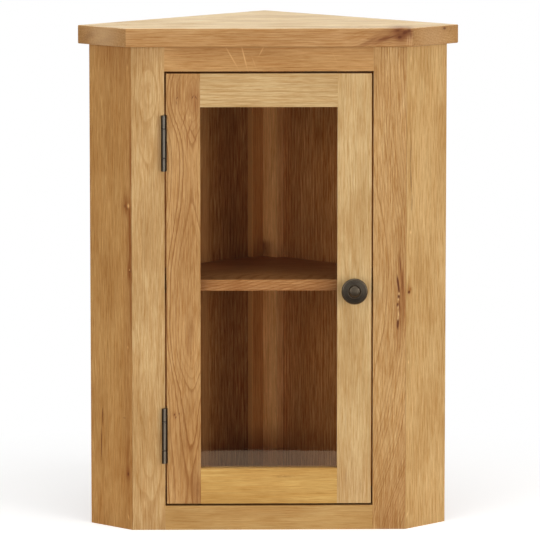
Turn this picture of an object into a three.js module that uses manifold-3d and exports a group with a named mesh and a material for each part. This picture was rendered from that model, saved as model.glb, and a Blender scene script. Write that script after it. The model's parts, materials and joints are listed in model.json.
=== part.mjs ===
// A corner cupboard in light oak: a five-sided carcass whose two back panels meet in the corner of a room,
// a face frame, one fixed shelf, and a glazed door that swings on two butt hinges.
// Lengths are in millimetres. +X is to the viewer's right, +Y runs back into the corner and +Z is up.
// The pieces are drawn from the middle of the face frame's front, at the level of the cupboard's underside.

import * as THREE from "three";
import { mergeVertices } from "three/addons/utils/BufferGeometryUtils.js";
import Module from "manifold-3d";

const wasm = await Module();
wasm.setup();

// Driving dimensions

const overallHeight = 680;
const frontWidth = 369; // between the two front corners of the carcass
const returnLength = 80; // each return board, from its front corner back to the wall
const boardThickness = 20; // face frame, returns and door frame

const topBoard = { thickness: 25, frontOverhang: 9, sideOverhang: 11, wallOverhang: 10, easing: 1.2 };
const faceFrame = { stileWidth: 44.5, topRailHeight: 33, bottomRailHeight: 33 };
const frameTenon = { length: 22, thickness: 7, shoulder: 6 };
const backPanel = { thickness: 5, rebateWidth: 10 };
const leftStrip = { width: 21.5, thickness: 9 };
const rightStrip = { width: 36, thickness: 13 };
const baseBoard = { thickness: 18, housing: 6 };
const shelf = { thickness: 15, topHeight: 338, screwClearance: 1.5 };
const shelfBatten = { depth: 12, height: 18 };
const hangingRail = { depth: 15, height: 45 };

const doorGap = { sides: 2.3, ends: 3 };
const door = { stileWidth: 45.7, topRailHeight: 45, bottomRailHeight: 48 };
const doorTenon = { length: 28, thickness: 7, shoulder: 6 };
const rebate = { width: 10, lip: 8 }; // around the back of the window, for the glass and its beads
const glass = { thickness: 4, play: 0.8 };

const hinge = { length: 75, endDistance: 55.8, endKnuckle: 18, knuckleRadius: 3.4, pinRadius: 1.5 };
const hingeAxis = { sideways: 2.15, standOff: 0.4 }; // from the gap's middle, and in front of the frame
const leaf = { thickness: 1.6, depth: 18, spacing: 0.4, screwSpacing: 26, screwDepth: 10 };
const hingeScrew = { headRadius: 2.6, headDepth: 1.4, radius: 1.3, length: 15, tip: 3 };

const knob = {
  inset: 23.3, // from the door's edge to the middle of the knob
  radius: 17.6,
  projection: 25,
  footRadius: 9,
  footHeight: 3,
  neckRadius: 6,
  headHeight: 10,
  rimWidth: 3,
  rimRoll: 2.3, // height of the rolled edge
  rimLand: 1, // straight part of the rim below the roll
  stepDepth: 0.5,
  faceRise: 1.3, // from the step up to the ring
  ringRadius: 9.6,
  ringWidth: 1.3,
  ringHeight: 0.5,
  buttonRadius: 7.8,
  buttonHeight: 3,
  buttonRounding: 1.6,
  buttonCrown: 0.3,
};
const knobScrew = { headRadius: 4.2, headHeight: 2.4, radius: 2, grip: 12 };

const catchCase = { width: 44, depth: 14, overlap: 14, height: 40, offset: 70 };
const magnet = { width: 20, height: 8, depth: 9 };
const striker = { width: 26, height: 9, thickness: 1.2 };
const catchScrew = { headRadius: 3, headDepth: 1.6, radius: 1.5, length: 22, tip: 3, spacing: 30, edge: 8 };
const strikerScrew = { headRadius: 1.9, headDepth: 0.9, radius: 1, length: 10, tip: 2 };

const jointGap = 0.3; // left between pieces that touch or are glued
const cutOverrun = 2; // how far a cutting tool runs past the face that it opens
const mergeDistance = 1e-4;
const turnedSides = 24; // facets of a knuckle, a pin or the knob's screw
const screwSides = 16;
const knobSides = 40;
const curveSteps = 5;

// Sizes that follow from them

const diagonal = Math.SQRT1_2; // sine and cosine of the 45 degrees between the front and a return
const mitreAngle = Math.PI / 8; // the front corners are 135 degrees, so their mitres lean half of 45
const mitreSlope = Math.tan(mitreAngle);
const mitreGap = jointGap / 2 / Math.cos(mitreAngle);
const halfFront = frontWidth / 2;
const returnReach = returnLength * diagonal;
const cornerDepth = halfFront + 2 * returnReach;
const wallLength = (halfFront + returnReach) / diagonal;
const carcassTop = overallHeight - topBoard.thickness;
const opening = {
  half: halfFront - faceFrame.stileWidth,
  low: faceFrame.bottomRailHeight,
  high: carcassTop - faceFrame.topRailHeight,
};
const doorFrame = {
  half: opening.half - doorGap.sides,
  low: opening.low + doorGap.ends,
  high: opening.high - doorGap.ends,
};
const glazed = {
  half: doorFrame.half - door.stileWidth,
  low: doorFrame.low + door.bottomRailHeight,
  high: doorFrame.high - door.topRailHeight,
};
const panelFace = backPanel.thickness + jointGap; // first free plane in front of a back panel
const baseTop = opening.low;
const stripFoot = baseTop + jointGap;
const pieceTop = carcassTop - jointGap;
const shelfLow = shelf.topHeight - shelf.thickness;
const battenTop = shelfLow - jointGap;
const pivot = {
  x: -(opening.half - doorGap.sides / 2) - hingeAxis.sideways,
  y: -(hinge.knuckleRadius + hingeAxis.standOff),
};
const knobPlace = { x: doorFrame.half - knob.inset, z: (doorFrame.low + doorFrame.high) / 2 };
const hingeHeights = {
  upper: doorFrame.high - hinge.endDistance - hinge.length / 2,
  lower: doorFrame.low + hinge.endDistance + hinge.length / 2,
};

// Solids from three.js geometry, joined and cut with manifold-3d

function solidOf(geometry) {
  const bare = geometry.clone();
  bare.deleteAttribute("normal");
  bare.deleteAttribute("uv");
  const merged = mergeVertices(bare, mergeDistance);
  const vertProperties = merged.getAttribute("position").array;
  const triVerts = new Uint32Array(merged.index.array);
  return new wasm.Manifold(new wasm.Mesh({ numProp: 3, vertProperties, triVerts }));
}

function geometryOf(solid) {
  const mesh = solid.getMesh();
  const geometry = new THREE.BufferGeometry();
  geometry.setAttribute("position", new THREE.BufferAttribute(mesh.vertProperties, 3));
  geometry.setIndex(new THREE.BufferAttribute(mesh.triVerts, 1));
  geometry.computeVertexNormals();
  return geometry;
}

function join(first, ...others) {
  return others.reduce((sum, other) => sum.add(other), first);
}

function cut(first, ...tools) {
  return tools.reduce((rest, tool) => rest.subtract(tool), first);
}

// A block between two opposite corners.
function block(low, high) {
  const size = low.map((value, i) => high[i] - value);
  const centre = low.map((value, i) => (high[i] + value) / 2);
  return solidOf(new THREE.BoxGeometry(...size).translate(...centre));
}

// A straight-sided solid over a plan outline, between two heights.
function prism(outline, low, high) {
  const shape = new THREE.Shape(outline.map(([x, y]) => new THREE.Vector2(x, y)));
  const options = { depth: high - low, bevelEnabled: false };
  return solidOf(new THREE.ExtrudeGeometry(shape, options).translate(0, 0, low));
}

// A turned solid from [radius, height] points that go up, about the Y axis.
function turned(profile, sides) {
  const points = profile.map(([radius, height]) => new THREE.Vector2(radius, height));
  return new THREE.LatheGeometry(points, sides);
}

// An upright round rod, grown by a clearance where it is a cutting tool.
function uprightRod(radius, low, high) {
  const rod = new THREE.CylinderGeometry(radius, radius, high - low, turnedSides);
  return solidOf(rod.rotateX(Math.PI / 2).translate(0, 0, (low + high) / 2));
}

// Outlines in plan

// The carcass outline, moved outwards on the front, on the returns and on the walls.
function planOutline(front, side, wall) {
  const frontHalf = halfFront + side / diagonal - front;
  const sideX = halfFront + returnReach + (side + wall) * diagonal;
  const sideY = returnReach + (wall - side) * diagonal;
  const rearY = cornerDepth + wall / diagonal;
  return [
    [-frontHalf, -front],
    [frontHalf, -front],
    [sideX, sideY],
    [0, rearY],
    [-sideX, sideY],
  ];
}

// A point by its distance along a wall from the rear corner, and its distance in front of that wall.
function wallPoint(side, along, inward) {
  return [side * (along - inward) * diagonal, cornerDepth - (along + inward) * diagonal];
}

// A point by its distance back along a return from the front corner, and its distance inside its face.
function returnPoint(side, back, inward) {
  return [side * (halfFront + (back - inward) * diagonal), (back + inward) * diagonal];
}

// A strip of rectangular section that stands or lies against a wall.
function wallStrip(side, alongFrom, alongTo, inwardFrom, inwardTo, low, high) {
  const outline = [
    wallPoint(side, alongFrom, inwardFrom),
    wallPoint(side, alongTo, inwardFrom),
    wallPoint(side, alongTo, inwardTo),
    wallPoint(side, alongFrom, inwardTo),
  ];
  return prism(outline, low, high);
}

// Rails with tenons

const frameTopRail = railOf(opening.half, opening.high, pieceTop, frameTenon, frameTenon.shoulder);
const frameBottomRail = railOf(opening.half, 0, opening.low, frameTenon, frameTenon.shoulder);
const doorTopRail = railOf(glazed.half, glazed.high, doorFrame.high, doorTenon, 0);
const doorBottomRail = railOf(glazed.half, doorFrame.low, glazed.low, doorTenon, 0);
doorTopRail.tenonLow += rebate.width + doorTenon.shoulder;
doorTopRail.tenonHigh -= doorTenon.shoulder;
doorBottomRail.tenonLow += doorTenon.shoulder;
doorBottomRail.tenonHigh -= rebate.width + doorTenon.shoulder;

// A rail between two stiles, and where its tenons lie.
function railOf(half, low, high, tenon, shoulder) {
  return { half, low, high, tenon, tenonLow: low + shoulder, tenonHigh: high - shoulder };
}

// The bar that a rail's two tenons are the ends of, which is also the tool for their mortises.
function tenonBar(rail, growth) {
  const reach = rail.half + rail.tenon.length + growth;
  const halfThickness = rail.tenon.thickness / 2 + growth;
  const middle = boardThickness / 2;
  const low = [-reach, middle - halfThickness, rail.tenonLow - growth];
  const high = [reach, middle + halfThickness, rail.tenonHigh + growth];
  return block(low, high);
}

function tenonedRail(rail) {
  const half = rail.half - jointGap;
  return join(block([-half, 0, rail.low], [half, boardThickness, rail.high]), tenonBar(rail, 0));
}

// Screws, with the head flush at the origin and the point along -Y of the turned profile

function screwProfile(screw, growth) {
  const shank = screw.radius + growth;
  const head = screw.headRadius + growth;
  const above = growth > 0 ? cutOverrun : 0;
  return [
    [0, -screw.length - growth],
    [shank, -screw.length + screw.tip - growth],
    [shank, -screw.headDepth - growth],
    [head, -growth],
    [head, above],
    [0, above],
  ].filter(([radius, height], i, all) => i === 0 || radius !== all[i - 1][0] || height !== all[i - 1][1]);
}

// Turns that point a screw to the left, to the right or forward.
const pointing = {
  left: new THREE.Euler(0, 0, -Math.PI / 2),
  right: new THREE.Euler(0, 0, Math.PI / 2),
  forward: new THREE.Euler(0, 0, 0),
};

function screwTool(screw, place, direction) {
  const tool = turned(screwProfile(screw, jointGap), screwSides);
  const turn = new THREE.Matrix4().makeRotationFromEuler(pointing[direction]);
  return solidOf(tool.applyMatrix4(turn).translate(...place));
}

// Finishes

function oak(color) {
  return new THREE.MeshStandardMaterial({ color, roughness: 0.5, metalness: 0 });
}

function metal(color, roughness) {
  return new THREE.MeshStandardMaterial({ color, roughness, metalness: 1 });
}

function clearGlass() {
  return new THREE.MeshStandardMaterial({
    color: "#dfe8e4",
    roughness: 0.05,
    metalness: 0,
    transparent: true,
    opacity: 0.3,
  });
}

const darkBronze = "#49413a";
const pewter = "#5c524a";
const steel = "#9a9b9c";

// Adds a piece to a group, as a mesh with its own name and finish.
function addPiece(group, name, solid, material) {
  const mesh = new THREE.Mesh(geometryOf(solid), material);
  mesh.name = name;
  group.add(mesh);
  return mesh;
}

// Adds a screw at its place, pointing the way it is driven.
function addScrew(group, name, screw, place, direction, material) {
  const mesh = addPiece(group, name, solidOf(turned(screwProfile(screw, 0), screwSides)), material);
  mesh.position.set(...place);
  mesh.rotation.copy(pointing[direction]);
}

// Carcass

function buildTopBoard(group) {
  const easing = topBoard.easing;
  const outline = planOutline(topBoard.frontOverhang, topBoard.sideOverhang, topBoard.wallOverhang);
  const shape = new THREE.Shape(outline.map(([x, y]) => new THREE.Vector2(x, y)));
  const slab = new THREE.ExtrudeGeometry(shape, {
    depth: topBoard.thickness - 2 * easing,
    bevelThickness: easing,
    bevelSize: easing,
    bevelOffset: -easing,
    bevelSegments: 2,
  });
  slab.translate(0, 0, easing);
  addPiece(group, "top_board", solidOf(slab), oak("#c8a070")).position.z = carcassTop;
}

// The base board, grown by a clearance where it is the tool for its housings.
function baseSolid(growth) {
  const inFrame = baseBoard.housing - boardThickness + growth;
  const outline = planOutline(inFrame, inFrame, -panelFace);
  return prism(outline, baseTop - baseBoard.thickness - growth, baseTop + growth);
}

function buildBaseBoard(group) {
  addPiece(group, "base_board", baseSolid(0), oak("#8a6238"));
}

function stileOutline(side) {
  return [
    [side * opening.half, 0],
    [side * (halfFront - mitreGap), 0],
    [side * (halfFront - mitreGap - boardThickness * mitreSlope), boardThickness],
    [side * opening.half, boardThickness],
  ];
}

function buildFaceFrame(group) {
  const housing = baseSolid(jointGap);
  const mortises = [tenonBar(frameTopRail, jointGap), tenonBar(frameBottomRail, jointGap)];
  const left = cut(prism(stileOutline(-1), 0, pieceTop), housing, ...mortises, ...frameHingeTools());
  const right = cut(prism(stileOutline(1), 0, pieceTop), housing, ...mortises);
  addPiece(group, "left_frame_stile", left, oak("#c29966"));
  addPiece(group, "right_frame_stile", right, oak("#be905b"));
  const holes = catchScrewPlaces().map((place) => screwTool(catchScrew, place, "forward"));
  addPiece(group, "top_frame_rail", cut(tenonedRail(frameTopRail), ...holes), oak("#bb8c59"));
  addPiece(group, "bottom_frame_rail", cut(tenonedRail(frameBottomRail), housing), oak("#bc9059"));
}

// A return board, mitred to the stile in front and rebated behind for the edge of the back panel.
function returnSolid(side) {
  const outline = [
    returnPoint(side, mitreGap, 0),
    returnPoint(side, returnLength, 0),
    returnPoint(side, returnLength, boardThickness),
    returnPoint(side, mitreGap + boardThickness * mitreSlope, boardThickness),
  ];
  const rebateFrom = wallLength - boardThickness - cutOverrun;
  const rebateTo = wallLength - boardThickness + backPanel.rebateWidth;
  const panelSeat = wallStrip(side, rebateFrom, rebateTo, -cutOverrun, panelFace, -cutOverrun, carcassTop);
  return cut(prism(outline, 0, pieceTop), panelSeat, baseSolid(jointGap));
}

function buildReturns(group) {
  addPiece(group, "left_return_board", returnSolid(-1), oak("#a97c49"));
  addPiece(group, "right_return_board", returnSolid(1), oak("#c89f67"));
}

// Where the two corner strips lie along and in front of their walls; the left one butts against the right.
const stripSpans = {
  left: {
    side: -1,
    from: panelFace + rightStrip.thickness + jointGap,
    to: panelFace + rightStrip.thickness + jointGap + leftStrip.width,
    face: panelFace + leftStrip.thickness,
  },
  right: {
    side: 1,
    from: panelFace,
    to: panelFace + rightStrip.width,
    face: panelFace + rightStrip.thickness,
  },
};

function stripSolid(span, growth) {
  const { side, from, to, face } = span;
  const [low, high] = [stripFoot - growth, pieceTop + growth];
  return wallStrip(side, from - growth, to + growth, panelFace - growth, face + growth, low, high);
}

function buildBack(group) {
  const panelEnd = wallLength - boardThickness + backPanel.rebateWidth - jointGap;
  const leftPanel = wallStrip(-1, panelFace, panelEnd, 0, backPanel.thickness, 0, pieceTop);
  const rightPanel = wallStrip(1, 0, panelEnd, 0, backPanel.thickness, 0, pieceTop);
  addPiece(group, "left_back_panel", leftPanel, oak("#7a5330"));
  addPiece(group, "right_back_panel", rightPanel, oak("#80582f"));
  addPiece(group, "left_corner_strip", stripSolid(stripSpans.left, 0), oak("#8a5f36"));
  addPiece(group, "right_corner_strip", stripSolid(stripSpans.right, 0), oak("#94683c"));
}

// A bar that runs along a back panel, from its corner strip to the return board.
function wallBar(span, depth, low, high) {
  const end = wallLength - boardThickness - jointGap;
  return wallStrip(span.side, span.to + jointGap, end, panelFace, panelFace + depth, low, high);
}

function buildShelfAndRails(group) {
  const behindDoor = -(boardThickness + jointGap + knobScrew.headHeight + shelf.screwClearance);
  const outline = planOutline(behindDoor, -(boardThickness + jointGap), -panelFace);
  const strips = Object.values(stripSpans).map((span) => stripSolid(span, jointGap));
  const board = cut(prism(outline, shelfLow, shelf.topHeight), ...strips);
  addPiece(group, "shelf", board, oak("#a06e43"));
  for (const [name, span] of Object.entries(stripSpans)) {
    const batten = wallBar(span, shelfBatten.depth, battenTop - shelfBatten.height, battenTop);
    addPiece(group, `${name}_shelf_batten`, batten, oak("#8a5f36"));
    const rail = wallBar(span, hangingRail.depth, pieceTop - hangingRail.height, pieceTop);
    addPiece(group, `${name}_hanging_rail`, rail, oak("#8a5f36"));
  }
}

// Door frame and glazing

// The stepped recess around the back of the window, which holds the glass and its beads.
function rebateTool() {
  const half = glazed.half + rebate.width;
  const low = [-half, rebate.lip, glazed.low - rebate.width];
  return block(low, [half, boardThickness + cutOverrun, glazed.high + rebate.width]);
}

function buildDoorFrame(group) {
  const inner = glazed.half;
  const outer = doorFrame.half;
  const mortises = [tenonBar(doorTopRail, jointGap), tenonBar(doorBottomRail, jointGap)];
  const leftBlank = block([-outer, 0, doorFrame.low], [-inner, boardThickness, doorFrame.high]);
  const rightBlank = block([inner, 0, doorFrame.low], [outer, boardThickness, doorFrame.high]);
  const left = cut(leftBlank, rebateTool(), ...mortises, ...doorHingeTools());
  const right = cut(rightBlank, rebateTool(), ...mortises, knobHole());
  addPiece(group, "door_left_stile", left, oak("#b68754"));
  addPiece(group, "door_right_stile", right, oak("#caa470"));
  const topRail = cut(tenonedRail(doorTopRail), rebateTool(), strikerSeat());
  addPiece(group, "door_top_rail", topRail, oak("#caa673"));
  addPiece(group, "door_bottom_rail", cut(tenonedRail(doorBottomRail), rebateTool()), oak("#c89b58"));
}

function buildGlazing(group) {
  const half = glazed.half + rebate.width;
  const low = glazed.low - rebate.width;
  const high = glazed.high + rebate.width;
  const front = rebate.lip + jointGap;
  const back = front + glass.thickness;
  const play = glass.play;
  const pane = block([-half + play, front, low + play], [half - play, back, high - play]);
  addPiece(group, "glass_pane", pane, clearGlass());
  const beadFront = back + jointGap;
  const outer = half - jointGap;
  const beads = {
    left: [-outer, -glazed.half, low + jointGap, high - jointGap],
    right: [glazed.half, outer, low + jointGap, high - jointGap],
    top: [-glazed.half + jointGap, glazed.half - jointGap, glazed.high, high - jointGap],
    bottom: [-glazed.half + jointGap, glazed.half - jointGap, low + jointGap, glazed.low],
  };
  for (const [name, [xLow, xHigh, zLow, zHigh]] of Object.entries(beads)) {
    const bead = block([xLow, beadFront, zLow], [xHigh, boardThickness, zHigh]);
    addPiece(group, `${name}_glazing_bead`, bead, oak("#b98d5c"));
  }
}

// Hinges, drawn about their pin: +X to the door, +Y into the cupboard, +Z up, from the middle of the pin

const leafSpan = {
  frame: [hingeAxis.sideways - leaf.spacing / 2 - leaf.thickness, hingeAxis.sideways - leaf.spacing / 2],
  door: [hingeAxis.sideways + leaf.spacing / 2, hingeAxis.sideways + leaf.spacing / 2 + leaf.thickness],
};
const leafBack = leaf.depth - pivot.y;
const screwRow = [-leaf.screwSpacing, 0, leaf.screwSpacing];

// Where each screw of one leaf sits, from the middle of the pin.
function leafScrewPlaces(kind) {
  const face = kind === "frame" ? leafSpan.frame[1] : leafSpan.door[0];
  return screwRow.map((z) => [face, leaf.screwDepth - pivot.y, z]);
}

const drivenTo = { frame: "left", door: "right" };

function leafSolid(kind) {
  const half = hinge.length / 2;
  const inner = half - hinge.endKnuckle;
  const [xLow, xHigh] = leafSpan[kind];
  const middle = inner - jointGap;
  const knuckles = kind === "frame" ? [[-half, -inner], [inner, half]] : [[-middle, middle]];
  const free = kind === "frame" ? [[-inner, inner]] : [[-half, -middle], [middle, half]];
  const plate = block([xLow, 0, -half], [xHigh, leafBack, half]);
  const reach = hinge.knuckleRadius + hingeAxis.standOff + jointGap;
  const notch = ([low, high]) => {
    const from = low > -half ? low : low - cutOverrun;
    const to = high < half ? high : high + cutOverrun;
    return block([xLow - cutOverrun, -cutOverrun, from], [xHigh + cutOverrun, reach, to]);
  };
  const barrels = knuckles.map(([low, high]) => uprightRod(hinge.knuckleRadius, low, high));
  const bore = uprightRod(hinge.pinRadius + jointGap, -half - cutOverrun, half + cutOverrun);
  const holes = leafScrewPlaces(kind).map((place) => screwTool(hingeScrew, place, drivenTo[kind]));
  return cut(join(cut(plate, ...free.map(notch)), ...barrels), bore, ...holes);
}

// The tools that let a leaf and its screws into the wood, for both hinges.
function leafTools(kind) {
  const half = hinge.length / 2 + jointGap;
  const [xLow, xHigh] = leafSpan[kind];
  const tools = Object.values(hingeHeights).map((height) => {
    const low = [pivot.x + xLow - jointGap, -cutOverrun, height - half];
    return block(low, [pivot.x + xHigh + jointGap, leaf.depth + jointGap, height + half]);
  });
  for (const height of Object.values(hingeHeights)) {
    for (const [x, y, z] of leafScrewPlaces(kind)) {
      tools.push(screwTool(hingeScrew, [pivot.x + x, pivot.y + y, height + z], drivenTo[kind]));
    }
  }
  return tools;
}

function frameHingeTools() {
  return leafTools("frame");
}

function doorHingeTools() {
  return leafTools("door");
}

// One group at each hinge's pin; the frame's half goes to the carcass and the other half to the door.
function buildHingeHalves(group, kind) {
  const screwNames = ["bottom", "middle", "top"];
  for (const [level, height] of Object.entries(hingeHeights)) {
    const half = new THREE.Group();
    half.position.set(pivot.x, pivot.y, height);
    group.add(half);
    addPiece(half, `${level}_hinge_${kind}_leaf`, leafSolid(kind), metal(pewter, 0.45));
    leafScrewPlaces(kind).forEach((place, i) => {
      const name = `${level}_hinge_${kind}_screw_${screwNames[i]}`;
      addScrew(half, name, hingeScrew, place, drivenTo[kind], metal(pewter, 0.5));
    });
    if (kind === "frame") {
      const pin = uprightRod(hinge.pinRadius, -hinge.length / 2, hinge.length / 2);
      addPiece(half, `${level}_hinge_pin`, pin, metal(pewter, 0.4));
    }
  }
}

// Knob, turned about Y with its foot at the origin and its face up, then tipped forward onto the door

function arcPoints(from, corner, to) {
  const vectors = [from, corner, to].map(([radius, height]) => new THREE.Vector2(radius, height));
  return new THREE.QuadraticBezierCurve(...vectors).getPoints(curveSteps).map((p) => [p.x, p.y]);
}

function knobProfile() {
  const top = knob.projection;
  const floor = top - knob.buttonHeight; // of the groove round the button
  const ringTop = floor + knob.ringHeight + knob.ringWidth / 2;
  const faceInner = ringTop - knob.ringHeight;
  const faceOuter = faceInner - knob.faceRise;
  const rimTop = faceOuter + knob.stepDepth;
  const rimMiddle = rimTop - knob.rimRoll;
  const rimLow = rimMiddle - knob.rimLand;
  const neckTop = top - knob.headHeight;
  const rimInner = knob.radius - knob.rimWidth;
  const ringInner = knob.ringRadius - knob.ringWidth;
  const crownFoot = top - knob.buttonCrown;
  const crownRadius = knob.buttonRadius - knob.buttonRounding;
  const crownCorner = [knob.buttonRadius, crownFoot];
  const buttonShoulder = crownFoot - knob.buttonRounding;
  return [
    [0, 0],
    [knob.footRadius, 0],
    [knob.footRadius, knob.footHeight / 2],
    [knob.neckRadius, knob.footHeight],
    ...arcPoints([knob.neckRadius, neckTop], [rimInner, neckTop], [knob.radius, rimLow]),
    ...arcPoints([knob.radius, rimMiddle], [knob.radius, rimTop], [rimInner, rimTop]),
    [rimInner, faceOuter],
    [knob.ringRadius, faceInner],
    [knob.ringRadius, ringTop],
    [ringInner, ringTop],
    [ringInner, floor],
    [knob.buttonRadius, floor],
    ...arcPoints([knob.buttonRadius, buttonShoulder], crownCorner, [crownRadius, crownFoot]),
    [0, top],
  ];
}

// A rod along Y, for the knob's screw and its holes.
function crossRod(radius, from, to, place) {
  const rod = new THREE.CylinderGeometry(radius, radius, to - from, turnedSides);
  return solidOf(rod.translate(place.x, (from + to) / 2, place.z));
}

function knobHole() {
  return crossRod(knobScrew.radius + jointGap, -cutOverrun, boardThickness + cutOverrun, knobPlace);
}

function buildKnob(group) {
  const axis = { x: 0, z: 0 };
  const screwHole = crossRod(knobScrew.radius + jointGap, -cutOverrun, knobScrew.grip + jointGap, axis);
  const body = cut(solidOf(turned(knobProfile(), knobSides)), screwHole);
  const mesh = addPiece(group, "knob", body, metal(darkBronze, 0.42));
  mesh.position.set(knobPlace.x, -jointGap, knobPlace.z);
  mesh.rotation.x = Math.PI;
  const headFrom = boardThickness + jointGap;
  const shank = crossRod(knobScrew.radius, -knobScrew.grip, headFrom + knobScrew.headHeight / 2, axis);
  const head = crossRod(knobScrew.headRadius, headFrom, headFrom + knobScrew.headHeight, axis);
  const screw = addPiece(group, "knob_screw", join(shank, head), metal(steel, 0.35));
  screw.position.set(knobPlace.x, 0, knobPlace.z);
}

// Magnetic catch behind the top rail, and its striker plate let into the back of the door

const catchSpan = {
  low: opening.high - catchCase.overlap,
  back: boardThickness + jointGap + catchCase.depth,
};
const magnetCentre = (catchSpan.low + doorFrame.high) / 2;

function catchScrewPlaces() {
  const z = catchSpan.low + catchCase.height - catchScrew.edge;
  return [-1, 1].map((side) => [catchCase.offset + (side * catchScrew.spacing) / 2, catchSpan.back, z]);
}

function strikerScrewPlace() {
  return [catchCase.offset, boardThickness, magnetCentre];
}

// The magnet, grown by a clearance and opened to the front where it is the tool for its pocket.
function magnetBlock(growth, open) {
  const halfWidth = magnet.width / 2 + growth;
  const halfHeight = magnet.height / 2 + growth;
  const front = boardThickness + 2 * jointGap;
  const back = front + magnet.depth + growth;
  const low = [catchCase.offset - halfWidth, front - open, magnetCentre - halfHeight];
  return block(low, [catchCase.offset + halfWidth, back, magnetCentre + halfHeight]);
}

// The striker plate's block, and the shallow seat for it in the door's top rail.
function strikerBlock(growth, open) {
  const halfWidth = striker.width / 2 + growth;
  const halfHeight = striker.height / 2 + growth;
  const front = boardThickness - striker.thickness - growth;
  const low = [catchCase.offset - halfWidth, front, magnetCentre - halfHeight];
  return block(low, [catchCase.offset + halfWidth, boardThickness + open, magnetCentre + halfHeight]);
}

function strikerSeat() {
  return join(strikerBlock(jointGap, cutOverrun), screwTool(strikerScrew, strikerScrewPlace(), "forward"));
}

function buildCatch(group) {
  const halfWidth = catchCase.width / 2;
  const low = [catchCase.offset - halfWidth, boardThickness + jointGap, catchSpan.low];
  const high = [catchCase.offset + halfWidth, catchSpan.back, catchSpan.low + catchCase.height];
  const holes = catchScrewPlaces().map((place) => screwTool(catchScrew, place, "forward"));
  const pocket = magnetBlock(jointGap, cutOverrun);
  addPiece(group, "catch_case", cut(block(low, high), pocket, ...holes), metal("#6b5136", 0.6));
  addPiece(group, "catch_magnet", magnetBlock(0, 0), metal("#3a3a3c", 0.5));
  catchScrewPlaces().forEach((place, i) => {
    addScrew(group, `catch_screw_${["left", "right"][i]}`, catchScrew, place, "forward", metal(steel, 0.4));
  });
}

function buildStriker(group) {
  const hole = screwTool(strikerScrew, strikerScrewPlace(), "forward");
  addPiece(group, "striker_plate", cut(strikerBlock(0, 0), hole), metal(steel, 0.3));
  addScrew(group, "striker_screw", strikerScrew, strikerScrewPlace(), "forward", metal(steel, 0.4));
}

// The whole cupboard, with the middle of its footprint's box at the origin

const cupboard = new THREE.Group();
const carcass = new THREE.Group();
const swingingDoor = new THREE.Group();
const rearTip = cornerDepth + topBoard.wallOverhang / diagonal;
const frontTip = -(knob.projection + jointGap);
for (const group of [carcass, swingingDoor]) {
  group.position.y = -(frontTip + rearTip) / 2;
  cupboard.add(group);
}

buildTopBoard(carcass);
buildBaseBoard(carcass);
buildFaceFrame(carcass);
buildReturns(carcass);
buildBack(carcass);
buildShelfAndRails(carcass);
buildHingeHalves(carcass, "frame");
buildCatch(carcass);

buildDoorFrame(swingingDoor);
buildGlazing(swingingDoor);
buildHingeHalves(swingingDoor, "door");
buildKnob(swingingDoor);
buildStriker(swingingDoor);

export default cupboard;
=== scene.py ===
import json
import math

import bmesh
import bpy
from mathutils import Matrix, Vector

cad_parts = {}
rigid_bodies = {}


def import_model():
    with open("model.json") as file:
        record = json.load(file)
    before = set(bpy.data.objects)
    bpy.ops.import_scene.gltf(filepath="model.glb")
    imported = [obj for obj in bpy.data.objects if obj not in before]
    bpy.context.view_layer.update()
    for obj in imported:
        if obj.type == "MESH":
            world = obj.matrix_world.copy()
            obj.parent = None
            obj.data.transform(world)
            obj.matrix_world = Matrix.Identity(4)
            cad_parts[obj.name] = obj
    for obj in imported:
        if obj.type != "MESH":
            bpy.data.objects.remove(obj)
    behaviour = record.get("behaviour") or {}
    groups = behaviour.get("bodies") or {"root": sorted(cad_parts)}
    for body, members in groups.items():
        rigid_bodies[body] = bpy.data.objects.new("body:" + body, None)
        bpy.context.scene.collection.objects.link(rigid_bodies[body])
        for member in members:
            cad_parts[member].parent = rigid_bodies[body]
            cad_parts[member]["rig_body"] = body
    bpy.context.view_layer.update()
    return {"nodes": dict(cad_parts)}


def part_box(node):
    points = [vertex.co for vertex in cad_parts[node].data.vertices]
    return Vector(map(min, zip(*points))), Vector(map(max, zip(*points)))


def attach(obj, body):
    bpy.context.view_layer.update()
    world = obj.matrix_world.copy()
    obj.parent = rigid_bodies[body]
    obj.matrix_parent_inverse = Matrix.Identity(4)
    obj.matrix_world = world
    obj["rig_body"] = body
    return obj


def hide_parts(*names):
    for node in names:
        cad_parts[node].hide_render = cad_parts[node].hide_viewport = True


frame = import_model()
nodes = frame["nodes"]
mm = 0.001
print("frame loaded:", len(nodes), "nodes")

# Places that the grain is laid out from
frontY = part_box("door_left_stile")[0].y  # front plane of door and face frame
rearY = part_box("right_back_panel")[1].y  # corner of the room
leftCorner = Vector((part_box("left_frame_stile")[0].x, frontY, 0))
rightCorner = Vector((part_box("right_frame_stile")[1].x, frontY, 0))


def addObject(name, data):
    added = bpy.data.objects.new(name, data)
    bpy.context.scene.collection.objects.link(added)
    return added


def addMesh(name, shape):
    mesh = bpy.data.meshes.new(name)
    shape.to_mesh(mesh)
    shape.free()
    return addObject(name, mesh)


# Camera, at the photograph's angle
view = {
    "place": (-0.12122, -6.33993, 1.17682),
    "down": 7.5595,  # degrees below level
    "turn": 1.1335,  # degrees to the right
    "lens": 310.34,
    "sensor": 36.0,
    "far": 60.0,
}

cameraData = bpy.data.cameras.new("camera")
cameraData.lens = view["lens"]
cameraData.sensor_width = view["sensor"]
cameraData.clip_end = view["far"]
camera = addObject("camera", cameraData)
camera.location = view["place"]
camera.rotation_euler = (math.radians(90 - view["down"]), 0, math.radians(-view["turn"]))
bpy.context.scene.camera = camera
bpy.context.scene.view_settings.view_transform = "Standard"
print("camera placed")


# Small helpers for node trees
white = (1, 1, 1, 1)


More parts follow.
